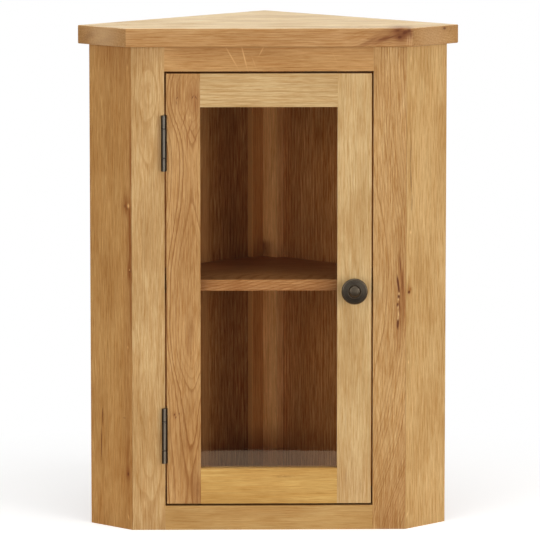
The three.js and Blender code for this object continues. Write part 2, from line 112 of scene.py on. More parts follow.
def addNode(tree, kind, inputs, **settings):
    node = tree.nodes.new("ShaderNode" + kind)
    for key, value in settings.items():
        setattr(node, key, value)
    for key, value in inputs.items():
        if isinstance(value, bpy.types.NodeSocket):
            tree.links.new(value, node.inputs[key])
        else:
            node.inputs[key].default_value = value
    return node


def outputOf(tree, kind, *values, output=0, **settings):
    return addNode(tree, kind, dict(enumerate(values)), **settings).outputs[output]


def calc(tree, operation, *values, clamp=False):
    return outputOf(tree, "Math", *values, operation=operation, use_clamp=clamp)


def times(tree, first, second, clamp=False):
    return calc(tree, "MULTIPLY", first, second, clamp=clamp)


def scaled(tree, value, factor, start, clamp=False):
    return calc(tree, "MULTIPLY_ADD", value, factor, start, clamp=clamp)


def vectorCalc(tree, operation, *values, output=0):
    return outputOf(tree, "VectorMath", *values, output=output, operation=operation)


def objectPlace(tree):
    return outputOf(tree, "TexCoord", output="Object")


def axisOf(tree, vector, axis):
    return outputOf(tree, "SeparateXYZ", vector, output=axis)


def laidOut(tree, place, start, turn, size):
    return outputOf(tree, "Mapping", place, start, turn, size, vector_type="TEXTURE")


def blendColour(tree, share, first, second, blend="MIX"):
    inputs = {0: share, 6: first, 7: second}
    return addNode(tree, "Mix", inputs, data_type="RGBA", blend_type=blend).outputs[2]


def greyOf(tree, value):
    return outputOf(tree, "CombineColor", value, value, value)


def mixShaders(tree, share, first, second):
    return outputOf(tree, "MixShader", share, first, second)


def rayKinds(tree):
    path = addNode(tree, "LightPath", {}).outputs
    seen = calc(tree, "MAXIMUM", path["Is Camera Ray"], path["Is Transmission Ray"])
    return seen, path["Is Glossy Ray"]


def remap(tree, value, fromLow, fromHigh, toLow=0.0, toHigh=1.0):
    return outputOf(tree, "MapRange", value, fromLow, fromHigh, toLow, toHigh, clamp=True)


def noiseAt(tree, place, size, detail=2.0, rough=0.5, output=0):
    stretched = laidOut(tree, place, (0, 0, 0), (0, 0, 0), size)
    inputs = {"Vector": stretched, "Scale": 1.0, "Detail": detail, "Roughness": rough}
    return addNode(tree, "TexNoise", inputs).outputs[output]


def bell(tree, value):
    return calc(tree, "EXPONENT", times(tree, value, -1.0))


def total(tree, parts):
    result = parts[0]
    for part in parts[1:]:
        result = calc(tree, "ADD", result, part)
    return result


def ramp(tree, value, stops):
    node = addNode(tree, "ValToRGB", {0: value})
    points = node.color_ramp.elements
    while len(points) < len(stops):
        points.new(0.5)
    for point, (at, level) in zip(points, stops):
        point.position = at
        point.color = (level, level, level, 1)
    return node.outputs[0]


def newMaterial(name):
    material = bpy.data.materials.new(name)
    material.use_nodes = True
    material.node_tree.nodes.clear()
    return material, material.node_tree


def finishSurface(tree, inputs, height, strength, distance):
    relief = {"Strength": strength, "Distance": distance, "Height": height}
    bump = addNode(tree, "Bump", relief).outputs[0]
    surface = addNode(tree, "BsdfPrincipled", {**inputs, "Normal": bump}).outputs[0]
    addNode(tree, "OutputMaterial", {0: surface})


def linear(colour):  # screen colour, 0 to 255
    parts = [part / 255 for part in colour]
    return tuple(p / 12.92 if p < 0.04045 else ((p + 0.055) / 1.055) ** 2.4 for p in parts)


def shade(colour, factors=(1, 1, 1)):
    return tuple(part * factor for part, factor in zip(colour, factors)) + (1.0,)


# Oak: growth rings around a heart, bulges and knots, pores, fibres and marks, some marks being painted shade
# and painted light
oakUsual = {
    "tilt": (0, 2),  # degrees that the heart leans in the face, and into the board
    "spacing": 5.0,  # mm between the rings
    "wander": 4.0,  # mm that the rings stray, slowly
    "wiggle": 1.2,  # and over a short way
    "lines": 0.45,
    "even": 0.35,  # how strong the weakest ring is
    "rarity": 1.0,  # above 1, fewer rings stand out
    "fibres": 2.0,
    "fibreTint": (0.58, 0.96, 1.6),  # how much red, green and blue swing with the fibres
    "pores": 0.5,
    "streaks": 0.4,
    "depth": 900.0,  # mm that marks go through the board
    "bulges": (),  # along, across, half length, half width, shift of the rings
    # marks: stains, which on some boards are painted shade; dark knots; light marks, which on some boards
    # are painted light
    "stainsAndShade": (),  # along, across, half length, half width, strength, turn
    "dark": (),
    "light": (),
    "gloss": 0.46,
    "specular": 0.25,
    "lineTint": (0.58, 0.37, 0.08),
    "deepTint": (0.86, 0.80, 0.72),
    "paleTint": (1.10, 1.13, 1.20),
    "warmTint": (1.02, 0.88, 0.72),
    "stainAndShadeTint": (0.66, 0.48, 0.32),
    "markTint": (0.25, 0.10, 0.02),
    "lightTint": (1.45, 1.60, 1.90),
    "topLightingTint": None,  # painted light and shade for a face that looks up
}
oakNoises = {  # size along, across and into the board in mm, detail and roughness
    "fibre": ((36, 1.6, 1.6), 5, 0.76),
    "drift": ((150, 34, 34), 2, 0.5),
    "waver": ((30, 8, 8), 2, 0.6),
    "streak": ((110, 3.6, 3.6), 3, 0.6),
    "cloud": ((130, 38, 38), 2, 0.5),
    "pore": ((26, 1.1, 1.1), 1, 0.5),
    "ragged": ((5, 1.3, 1.3), 3, 0.6),
}
oakShares = {  # where a mark starts and where it is full, then its least and greatest share
    "streak": (0.42, 0.68),
    "cloud": (0.36, 0.66),
    "pore": (0.58, 0.66),
    "brokenLine": (0.3, 0.6, 0.6, 1.0),
    "patchyStainAndShade": (0.3, 0.7, 0.5, 1.4),
    "upward": (0.5, 0.9),
}
oakKnots = {"gain": 1.7, "start": 0.28, "ragged": -0.9, "edge": 4.0}
oakRough = {"line": 0.08, "pore": 0.16, "fibre": 0.12}
oakRelief = {"fibre": 0.5, "pore": -1.0, "line": -0.35, "knot": -1.2, "strength": 0.35, "distance": 0.00016}
poreLeast = 0.4  # share of the pores that shows away from the rings' lines
lineFray = 0.5  # how far the fibres fray the rings, in rings
seedSteps = (977.0, 131.0, 0)  # mm between the noises of two seeds
ringProfile = ((0.0, 0.12), (0.06, 1.0), (0.2, 0.85), (0.34, 0.24), (0.6, 0.05), (0.94, 0.0), (1.0, 0.12))

slant = math.sqrt(0.5)
layouts = {  # along, across, into the board, and where its measures start
    "upright": ((0, 0, 1), (1, 0, 0), (0, 1, 0), Vector((0, frontY, 0))),
    "level": ((1, 0, 0), (0, 0, 1), (0, 1, 0), Vector((0, frontY, 0))),
    "leftReturn": ((0, 0, 1), (-slant, slant, 0), (slant, slant, 0), leftCorner),
    "rightReturn": ((0, 0, 1), (slant, slant, 0), (-slant, slant, 0), rightCorner),
    "leftWall": ((0, 0, 1), (-slant, -slant, 0), (slant, -slant, 0), Vector((0, rearY, 0))),
    "rightWall": ((0, 0, 1), (slant, -slant, 0), (-slant, -slant, 0), Vector((0, rearY, 0))),
}


def boardSpace(tree, layout):
    along, across, inward, start = layouts[layout]
    flipped = Vector(along).cross(Vector(across)).dot(Vector(inward)) < 0
    depth = -Vector(inward) if flipped else Vector(inward)
    turn = Matrix((along, across, depth)).transposed().to_euler()
    return laidOut(tree, objectPlace(tree), start, turn, (mm, mm, -mm if flipped else mm))


def spot(tree, board, depth, along, across, length, width, turn=0.0):
    turned = (0, 0, math.radians(turn))
    offset = laidOut(tree, board, (along, across, 0), turned, (length, width, depth))
    return bell(tree, vectorCalc(tree, "DOT_PRODUCT", offset, offset, output=1))


def marks(tree, board, style, kind):
    spots = []
    for along, across, length, width, strength, *turn in style[kind]:
        value = spot(tree, board, style["depth"], along, across, length, width, *turn)
        spots.append(times(tree, value, strength))
    return total(tree, spots)


def oakNoise(tree, place, kind, output=0):
    size, detail, rough = oakNoises[kind]
    return noiseAt(tree, place, size, detail, rough, output)


def swerve(tree, place, kind, reach):
    centred = vectorCalc(tree, "SUBTRACT", oakNoise(tree, place, kind, output=1), (0.5, 0.5, 0.5))
    return vectorCalc(tree, "MULTIPLY", centred, tuple(2 * part for part in reach))


def oakMaterial(name, look):
    style = {**oakUsual, **look}
    material, tree = newMaterial(name)
    board = boardSpace(tree, style["layout"])
    seeded = vectorCalc(tree, "ADD", board, tuple(style["seed"] * step for step in seedSteps))

    # growth rings, with ragged edges where the pores are
    fibre = oakNoise(tree, seeded, "fibre")
    fibreSwing = calc(tree, "SUBTRACT", fibre, 0.5)
    reach = style["wander"]
    bent = vectorCalc(tree, "ADD", board, swerve(tree, seeded, "drift", (0, reach, reach)))
    bent = vectorCalc(tree, "ADD", bent, swerve(tree, seeded, "waver", (0, style["wiggle"], 0)))
    lean, dip = (math.radians(angle) for angle in style["tilt"])
    aboutHeart = laidOut(tree, bent, style["heart"], (0, dip, lean), (1, 1, 1))
    flat = vectorCalc(tree, "MULTIPLY", aboutHeart, (0, 1, 1))
    rings = vectorCalc(tree, "LENGTH", flat, output=1)
    for along, across, length, width, shift in style["bulges"]:
        bulge = spot(tree, board, style["depth"], along, across, length, width)
        rings = scaled(tree, bulge, float(shift), rings)
    years = calc(tree, "DIVIDE", rings, style["spacing"])
    years = scaled(tree, fibreSwing, lineFray, years)
    year = calc(tree, "FLOOR", years)
    strength = addNode(tree, "TexWhiteNoise", {"W": year}, noise_dimensions="1D").outputs[0]
    strength = calc(tree, "POWER", strength, style["rarity"])
    strength = remap(tree, strength, 0, 1, style["even"], 1.0)
    line = ramp(tree, calc(tree, "FRACT", years), ringProfile)
    line = times(tree, line, strength)

    # finer marks of the timber
    streak = oakNoise(tree, seeded, "streak")
    streakShare = remap(tree, streak, *oakShares["streak"])
    cloudShare = remap(tree, oakNoise(tree, seeded, "cloud"), *oakShares["cloud"])
    poreShare = remap(tree, oakNoise(tree, seeded, "pore"), *oakShares["pore"])
    poreShown = scaled(tree, line, 1 - poreLeast, poreLeast)
    poreShare = times(tree, poreShare, poreShown)

    # colour
    tone = linear(style["tone"])
    lineColour = shade(tone, style["lineTint"])
    colour = blendColour(tree, cloudShare, shade(tone, style["paleTint"]), shade(tone, style["deepTint"]))
    streakShare = times(tree, streakShare, style["streaks"])
    colour = blendColour(tree, streakShare, colour, shade(tone, style["warmTint"]))
    broken = times(tree, line, remap(tree, fibre, *oakShares["brokenLine"]))
    colour = blendColour(tree, times(tree, broken, style["lines"]), colour, lineColour)
    colour = blendColour(tree, times(tree, poreShare, style["pores"]), colour, lineColour)
    swings = []
    for part in style["fibreTint"]:
        swings.append(scaled(tree, fibreSwing, style["fibres"] * part, 1.0))
    swing = outputOf(tree, "CombineColor", *swings)
    colour = blendColour(tree, 1.0, colour, swing, "MULTIPLY")
    # painted light and shade: faces that look up are made paler on the top board and darker on the shelf
    if style["topLightingTint"]:
        normal = outputOf(tree, "NewGeometry", output="True Normal")
        upward = remap(tree, axisOf(tree, normal, 2), *oakShares["upward"])
        colour = blendColour(tree, upward, colour, shade(style["topLightingTint"]), "MULTIPLY")
    # stains, and painted shade laid out the same way
    if style["stainsAndShade"]:
        patchy = remap(tree, streak, *oakShares["patchyStainAndShade"])
        stainAndShadeShare = times(tree, marks(tree, board, style, "stainsAndShade"), patchy, clamp=True)
        colour = blendColour(tree, stainAndShadeShare, colour, shade(style["stainAndShadeTint"]), "MULTIPLY")
    if style["dark"]:
        dark = marks(tree, board, style, "dark")
        ragged = oakNoise(tree, seeded, "ragged")
        knotShare = scaled(tree, dark, oakKnots["gain"], oakKnots["start"])
        knotShare = scaled(tree, ragged, oakKnots["ragged"], knotShare, clamp=True)
        inside = calc(tree, "MINIMUM", times(tree, dark, oakKnots["edge"]), 1.0)
        knotShare = times(tree, knotShare, inside)
        colour = blendColour(tree, knotShare, colour, shade(tone, style["markTint"]))
    # pale marks, and painted light laid out the same way
    if style["light"]:
        lightShare = calc(tree, "MINIMUM", marks(tree, board, style, "light"), 1.0)
        colour = blendColour(tree, lightShare, colour, shade(tone, style["lightTint"]))

    # surface
    rough = scaled(tree, line, oakRough["line"], style["gloss"])
    rough = scaled(tree, poreShare, oakRough["pore"], rough)
    rough = scaled(tree, fibreSwing, oakRough["fibre"], rough)
    height = times(tree, fibre, oakRelief["fibre"])
    height = scaled(tree, poreShare, oakRelief["pore"], height)
    height = scaled(tree, line, oakRelief["line"], height)
    if style["dark"]:
        height = scaled(tree, knotShare, oakRelief["knot"], height)
    inputs = {"Base Color": colour, "Roughness": rough, "Specular IOR Level": style["specular"]}
    finishSurface(tree, inputs, height, oakRelief["strength"], oakRelief["distance"])
    return material


# Aged metal: two tones of patina, polished where it is rubbed and soiled where it isn't, with painted shade
# on a hinge barrel's flanks
metalUsual = {
    "mottle": 3.0,  # mm
    "mottleDetail": (4, 0.65),
    "fineShare": 1 / 6,  # size of the fine spots against the mottle
    "patinaFrom": (0.38, 0.64),
    "wearFrom": (0.62, 0.75),
    "wear": 0.3,
    "wearTint": (1.7, 1.7, 1.7),
    "soilAndShadeTint": (0.06, 0.05, 0.05),
    "patinaRough": 0.14,
    "fineRough": 0.06,
    "fineHeight": 0.4,
    "bump": (0.25, 0.00012),
    "joints": (),  # heights of the knuckles' joints
    "jointWidth": 0.7,  # mm
    "jointDark": 0.75,
    "barrel": None,  # axis and radius, where the flanks get painted shade
    "shadedFlanks": (0.85, 1.10, 0.85),  # painted shade from and to this share of the radius, and how dark
    "offset": 0.30,  # share of the radius by which the band left unshaded lies to the right
}


def metalMaterial(name, look):
    style = {**metalUsual, **look}
    material, tree = newMaterial(name)
    place = objectPlace(tree)
    size = style["mottle"] * mm
    fineSize = size * style["fineShare"]
    mottle = noiseAt(tree, place, (size, size, size), *style["mottleDetail"])
    fine = noiseAt(tree, place, (fineSize, fineSize, fineSize), detail=2)
    base, patina = linear(style["base"]), linear(style["patina"])
    darkened = shade(base, style["soilAndShadeTint"])
    share = remap(tree, mottle, *style["patinaFrom"])
    colour = blendColour(tree, share, shade(base), shade(patina))
    wear = times(tree, remap(tree, fine, *style["wearFrom"]), style["wear"])
    colour = blendColour(tree, wear, colour, shade(patina, style["wearTint"]))
    # painted shade: the barrel's flanks darken away from a band right of the axis
    if style["barrel"]:
        axisX, radius = style["barrel"]
        low, high, darkness = style["shadedFlanks"]
        aside = calc(tree, "SUBTRACT", axisOf(tree, place, 0), axisX + style["offset"] * radius)
        aside = calc(tree, "ABSOLUTE", aside)
        flankShade = remap(tree, aside, low * radius, high * radius, 0.0, darkness)
        colour = blendColour(tree, flankShade, colour, darkened)
    if style["joints"]:
        upright = axisOf(tree, place, 2)
        spots = []
        for joint in style["joints"]:
            offset = calc(tree, "DIVIDE", calc(tree, "SUBTRACT", upright, joint), style["jointWidth"] * mm)
            spots.append(bell(tree, times(tree, offset, offset)))
        soiled = times(tree, total(tree, spots), style["jointDark"])
        colour = blendColour(tree, soiled, colour, darkened)
    rough = scaled(tree, share, style["patinaRough"], style["gloss"])
    rough = scaled(tree, fine, style["fineRough"], rough)
    height = scaled(tree, fine, style["fineHeight"], mottle)
    finishSurface(tree, {"Base Color": colour, "Metallic": 1.0, "Roughness": rough}, height, *style["bump"])
    return material


# Meshes: the node's own shape, cleaned up and finished as a piece in its place
merging = {"distance": 2e-6, "spun": 1e-6, "flat": 0.5}  # metres, metres and degrees


def mergedCopy(nodeName):
    shape = bmesh.new()
    shape.from_mesh(nodes[nodeName].data)
    bmesh.ops.remove_doubles(shape, verts=shape.verts, dist=merging["distance"])
    flat = math.radians(merging["flat"])
    bmesh.ops.dissolve_limit(shape, angle_limit=flat, verts=shape.verts, edges=shape.edges)
    return shape


def finishPiece(name, shape, body, material, replaced):
    piece = addMesh(name, shape)
    piece.data.materials.append(material)
    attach(piece, body)
    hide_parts(*replaced)
    return piece


def dressNode(nodeName, shape, material):
    body = nodes[nodeName]["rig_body"]
    return finishPiece("dressed_" + nodeName, shape, body, material, [nodeName])


def paintNode(nodeName, material):
    data = nodes[nodeName].data
    data.materials.clear()
    data.materials.append(material)


def smoothFaces(shape):
    for face in shape.faces:
        face.smooth = True


def bevelEdges(shape, edges, width, clamped=False):
    bmesh.ops.bevel(
        shape, geom=edges, offset=width, offset_type="OFFSET", segments=2, profile=0.5,
        affect="EDGES", material=-1, clamp_overlap=clamped,
    )


# Tight joints: the solids' hair gaps are closed at the rails' shoulders and under the top board
joints = {"shoulders": (92.0, 140.0), "top": 655.0, "closing": 0.26, "near": 0.5}  # mm
sharpest = 20  # degrees from which an edge is an arris


def closeJoints(shape):
    for vert in shape.verts:
        for place in joints["shoulders"]:
            if joints["closing"] <= place - abs(vert.co.x) / mm < joints["near"]:
                vert.co.x += math.copysign(joints["closing"] * mm, vert.co.x)
        if joints["closing"] <= joints["top"] - vert.co.z / mm < joints["near"]:
            vert.co.z += joints["closing"] * mm


def atJoint(edge):
    ends = [vert.co / mm for vert in edge.verts]
    if all(abs(end.z - joints["top"]) < joints["near"] for end in ends):
        return True
    for place in joints["shoulders"]:
        if all(abs(abs(end.x) - place) < joints["near"] for end in ends):
            return True
    return False


def easeArrises(shape, width, shortest, smallest):
    arrises = [
        edge
        for edge in shape.edges
        if edge.is_manifold
        and edge.is_convex
        and not atJoint(edge)
        and edge.calc_face_angle() > math.radians(sharpest)
        and edge.calc_length() > shortest
        and min(face.calc_area() for face in edge.link_faces) > smallest
    ]
    bevelEdges(shape, arrises, width)


# Boards: how each looks. The heart, the centre of the rings, is given along the board, across it,
# and by how deep it lies behind the board's face, in mm.
boards = {
    "left_frame_stile": {
        "layout": "upright",
        "tone": (193, 155, 101),
        "heart": (330, -166, 26),
        "tilt": (0.5, 2.5),
        "spacing": 6.5,
        "wander": 8.0,
        "lines": 0.42,
        "fibres": 2.3,
        "seed": 1,
        # The first stain is a painted shadow of the upper hinge's knuckle on the stile; the last two darken
        # the stile's bottom end and, as painted shade, its top under the top board.
        "stainsAndShade": ((528, -147.2, 34, 1.6, 0.7), (0, -165, 60, 40, 0.18), (655, -165, 60, 40, 0.14)),
        "bulges": ((590, -160, 26, 13, -9), (470, -168, 40, 12, 6), (85, -163, 30, 14, -8)),
    },
    "right_frame_stile": {
        "layout": "upright",
        "tone": (189, 147, 91),
        "heart": (330, 40, 20),
        "tilt": (0.9, 0.5),
        "spacing": 3.6,
        "wander": 3.0,
        "wiggle": 0.8,
        "lines": 0.75,
        "even": 0.15,
        "rarity": 1.3,
        "fibres": 3.2,
        "lineTint": (0.46, 0.26, 0.03),
        "seed": 2,
        "bulges": ((330, 178, 180, 60, -34), (310, 175, 46, 7, 5), (-20, 178, 95, 70, 40)),
        "stainsAndShade": (
            (312, 176.0, 52, 6.0, 0.55), (352, 177.5, 30, 2.6, 0.5, -4), (318, 180.2, 30, 1.5, 1.1),
            (345, 178.6, 18, 1.2, 0.8, -5), (272, 174.5, 26, 4.0, 0.4), (14, 157, 14, 15, 0.3),
            (20, 170, 60, 18, 0.36), (105, 181, 55, 8, 0.3),
        ),
        "dark": (
            (334, 173.8, 11, 1.3, 1.3, -8), (317.5, 174.2, 2.8, 1.3, 1.1), (306.5, 173.0, 2.8, 1.3, 1.0),
            (281, 173.4, 7, 1.4, 1.1, 2), (300, 175.4, 14, 0.8, 0.5), (362, 176.2, 13, 0.9, 0.4, -5),
            (338, 179.8, 15, 0.9, 0.35, -4),
        ),
        "light": (
            (321.6, 174.9, 1.9, 0.8, 0.9), (314.2, 174.2, 1.8, 0.8, 0.8), (303.4, 173.8, 2.4, 0.8, 0.7),
            (294, 174.3, 4.5, 0.9, 0.9), (288, 173.6, 2.2, 0.8, 0.7),
        ),
    },
    "top_frame_rail": {
        "layout": "level",
        "tone": (185, 138, 81),
        "heart": (0, 470, 10),
        "tilt": (0.6, 0),
        "spacing": 4.2,
        "wander": 3.0,
        "lines": 0.25,
        "seed": 3,
        "light": (
            (-50, 641, 13, 0.7, 0.75, -60), (-33, 641, 14, 0.8, 0.85, -76), (-10, 649, 6, 0.7, 0.6, 62),
            (-20, 634, 7, 0.5, 0.35, -70), (88, 640, 8, 0.5, 0.25, -65),
        ),
    },
    "bottom_frame_rail": {
        "layout": "level",
        "tone": (188, 148, 88),
        "heart": (60, -160, 20),
        "tilt": (-1.2, 0),
        "spacing": 8.0,
        "wander": 4.0,
        "fibres": 1.4,
        "lines": 0.16,
        "seed": 4,
    },
    "left_return_board": {
        "layout": "leftReturn",
        "stainAndShadeTint": (0.56, 0.37, 0.22),
        "tone": (197, 147, 84),
        "fibres": 2.4,
        "heart": (200, 260, 10),
        "tilt": (0.4, 0),
        "spacing": 7.0,
        "wander": 7.0,
        "lines": 0.20,
        "seed": 5,
        "bulges": ((440, 9, 26, 9, 10), (354, 3, 22, 7, 8), (76, 8, 26, 9, 8)),
        "dark": (
            (440, 12.5, 3, 2.6, 0.42), (437, 8.0, 3, 1.4, 0.5), (353, 3.4, 2.4, 1.3, 0.7),
            (76, 8, 2.4, 1.8, 0.8), (150, 57.0, 12, 0.8, 1.0), (112, 59.5, 22, 0.8, 0.9),
            (152, 15, 2, 4, 0.3),
        ),
        # The last stain is painted shade under the top board's overhang.
        "stainsAndShade": (
            (300, 7, 320, 9, 0.28), (400, 4, 44, 3.0, 0.4), (440, 10, 13, 6, 0.95),
            (500, 1.6, 45, 2.4, 1.0), (390, 2.6, 44, 2.8, 0.9), (300, 1.8, 40, 2.4, 0.6),
            (352, 5, 12, 4, 0.7), (76, 8, 10, 5, 0.6), (105, 8, 38, 3, 0.4), (655, 20, 70, 60, 0.36),
        ),
        "light": (
            (441, 5.8, 2.4, 1.6, 1.4), (354.4, 4.0, 1.1, 0.8, 0.9), (627, 7, 4, 0.9, 0.7),
            (249, 8, 2, 1, 0.7), (17, 7.8, 4, 1.1, 0.8, 20),
        ),
    },
    "right_return_board": {
        "layout": "rightReturn",
        "tone": (209, 168, 109),
        "fibres": 2.4,
        "heart": (300, 300, 10),
        "tilt": (0.3, 0),
        "spacing": 7.0,
        "wander": 8.0,
        "lines": 0.17,
        "seed": 6,
        "bulges": ((323, 6, 24, 7, 7), (480, 6, 50, 7, 4)),
        "dark": (
            (512, 8.5, 14, 1.2, 0.45, 3), (476, 9, 18, 1.4, 0.55, -3), (443, 11, 14, 1.2, 0.40, 4),
            (540, 7, 20, 2.5, 0.2), (323.3, 5.9, 1.9, 2.0, 1.5), (240, 70, 90, 4, 0.12),
        ),
        "stainsAndShade": (
            (325.5, 6.5, 6, 3.0, 0.9), (331, 5.0, 7, 1.5, 0.6, 8), (500, 8.5, 60, 2.6, 0.35),
            (327, 9.5, 2.2, 2.5, 0.5),
        ),
        "light": (
            (638, 8, 4, 0.9, 0.7), (404, 9, 2.2, 1.1, 0.9), (228, 5.3, 2, 1, 0.9),
            (20, 4.5, 4, 1, 0.8, 25),
        ),
    },
    "door_left_stile": {
        "layout": "upright",
        "slot": "oak_door",
        "tone": (183, 138, 82),
        "heart": (330, -103, 5),
        "tilt": (0.6, 0.4),
        "spacing": 5.4,
        "wander": 4.5,
        "wiggle": 1.4,
        "lines": 1.0,
        "even": 0.2,
        "rarity": 1.3,
        "fibres": 2.6,
        "lineTint": (0.46, 0.25, 0.03),
        "seed": 7,
        "bulges": (
            (247, -107, 50, 34, -14), (330, -103, 92, 60, -22), (590, -103, 46, 60, -25),
            (60, -90, 70, 40, 12), (584, -123, 12, 4, 4), (586, -99, 12, 4, 4),
        ),
        "dark": (
            (586.5, -122.8, 2.4, 0.8, 0.55, 30), (580, -123.6, 3.0, 0.8, 0.5, -10),
            (587.5, -102, 3.4, 0.8, 0.55, 24), (587, -97.5, 3.4, 0.8, 0.5, -30),
            (158, -127.4, 1.8, 0.9, 0.7, 20), (154, -125.6, 2.2, 0.8, 0.6, 20),
            (159, -121, 1.6, 1.0, 0.6), (52, -96, 26, 6, 0.22), (262, -107.5, 26, 3, 0.16),
        ),
        "light": ((232, -107.5, 9, 1.1, 0.4), (560, -106, 2, 1.2, 0.6)),
        "stainsAndShade": (
            (262, -107.5, 22, 3.5, 0.5), (50, -97, 30, 7, 0.45), (587, -123, 9, 3.5, 0.5),
            (590, -99.5, 15, 8, 0.7), (574, -97, 9, 5, 0.55), (545, -99, 22, 6, 0.25),
            (480, -101, 16, 3, 0.3), (158, -126.5, 5, 3, 0.6), (560, -112.5, 14, 0.8, 1.0, 17),
            (545, -106.2, 10, 0.8, 1.0, 16), (537, -101.6, 9, 0.8, 1.0, -26),
            (530, -109.6, 16, 0.8, 0.9, -6), (505, -112.0, 14, 0.8, 0.7, -9),
        ),
    },
    "door_right_stile": {
        "layout": "upright",
        "slot": "oak_door",
        "tone": (199, 165, 112),
        "stainsAndShade": ((60, 122, 45, 30, 0.3),),
        "heart": (330, 118, 14),
        "tilt": (-0.6, 2.2),
        "spacing": 6.0,
        "wander": 5.0,
        "lines": 0.24,
        "seed": 8,
        "dark": (
            (70, 104, 16, 1.6, 0.25), (92, 112, 20, 1.6, 0.2), (150, 103, 26, 1.6, 0.2),
            (60, 124, 12, 2, 0.22),
        ),
    },
    "door_top_rail": {
        "layout": "level",
        "slot": "oak_door",
        "tone": (194, 160, 108),
        "heart": (-60, 330, 12),
        "tilt": (-2.0, 0),
        "spacing": 7.2,
        "wander": 5.0,
        "lines": 0.50,
        "seed": 9,
    },
    "door_bottom_rail": {
        "layout": "level",
        "slot": "oak_door",
        "tone": (195, 153, 82),
        "heart": (40, -60, 30),
        "fibres": 1.4,
        "tilt": (2.2, 0),
        "spacing": 11.0,
        "wander": 7.0,
        "lines": 0.22,
        "seed": 10,
        "warmTint": (1.02, 0.84, 0.60),
        "dark": ((20, 73, 20, 2.6, 0.25), (44, 60, 26, 1.2, 0.15, 3)),
    },
    "shelf": {
        "layout": "level",
        "slot": "oak_inside",
        "tone": (196, 133, 79),
        # painted shade: the shelf's top face is darkened
        "topLightingTint": (0.83, 0.83, 0.82),
        "heart": (0, 180, 40),
        "tilt": (14, 0),
        "spacing": 4.4,
        "wander": 4.0,
        "lines": 0.95,
        "fibres": 2.8,
        "seed": 11,
    },
    "left_corner_strip": {
        "layout": "leftWall",
        "slot": "oak_inside",
        "tone": (193, 126, 65),
        "heart": (300, 120, 10),
        "lines": 0.40,
        "seed": 12,
        # The light mark is a painted highlight along the strip's edge face.
        "light": ((300, 40.1, 900, 1.2, 0.95),),
        "stainsAndShade": ((350, 30, 30, 30, 0.5),),
    },
    "right_corner_strip": {
        "layout": "rightWall",
        "slot": "oak_inside",
        "tone": (255, 188, 120),
        "heart": (300, 140, 10),
        "lines": 0.40,
        "seed": 13,
        "bulges": ((350, 16, 12, 12, 10),),
        # The first stain, with this tint, is painted shade along the strip's edge face; the others make a
        # knot's halo.
        "stainAndShadeTint": (0.40, 0.26, 0.20),
        "stainsAndShade": ((300, 41.3, 900, 2.0, 0.25), (346, 14, 9, 12, 0.8), (355.5, 14, 5.5, 14, 0.65)),
        "dark": ((349, 19, 2.0, 2.0, 0.4),),
    },
}

easing = {"width": 0.3 * mm, "shortest": 30 * mm, "smallest": 2e-4}
for boardName, look in boards.items():
    shape = mergedCopy(boardName)
    closeJoints(shape)
    easeArrises(shape, **easing)
    material = oakMaterial("oak_" + boardName, look)
    dressNode(boardName, shape, material)
print("boards dressed:", len(boards))

